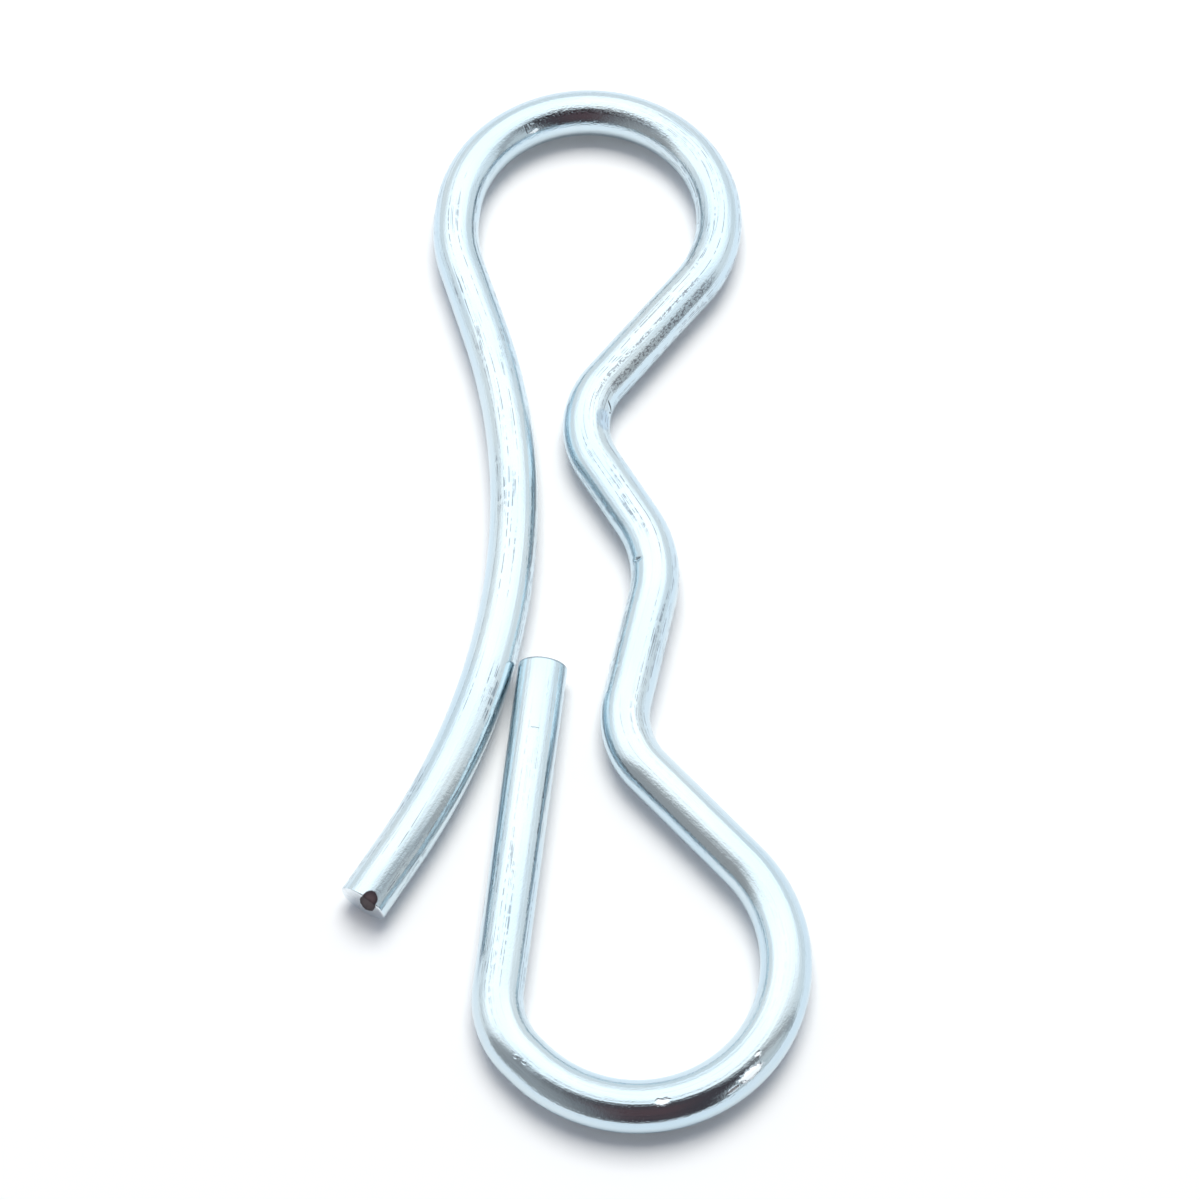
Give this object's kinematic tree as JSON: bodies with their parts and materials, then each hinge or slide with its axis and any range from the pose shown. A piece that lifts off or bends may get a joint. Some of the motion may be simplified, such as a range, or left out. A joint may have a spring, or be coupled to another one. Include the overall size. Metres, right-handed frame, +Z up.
{
  "type": "bow tie cotter pin",
  "caption": "Round spring wire bent flat into an upper and a lower loop, with a bowed long arm, a waisted body that hugs a clevis pin, and a short leg that ends against the arm.",
  "frame": {"origin": "middle of the pin's outline, on the surface that it lies on", "axes": "+Y along the pin towards the top loop, +X from the long arm towards the body, +Z up from the surface that it lies on"},
  "size_m": [0.0214, 0.0574, 0.0024],
  "materials": {
    "bright_zinc": "bright zinc plating, clear blue"
  },
  "bodies": {
    "root": {"wire": "bright_zinc"}
  },
  "joints": []
}
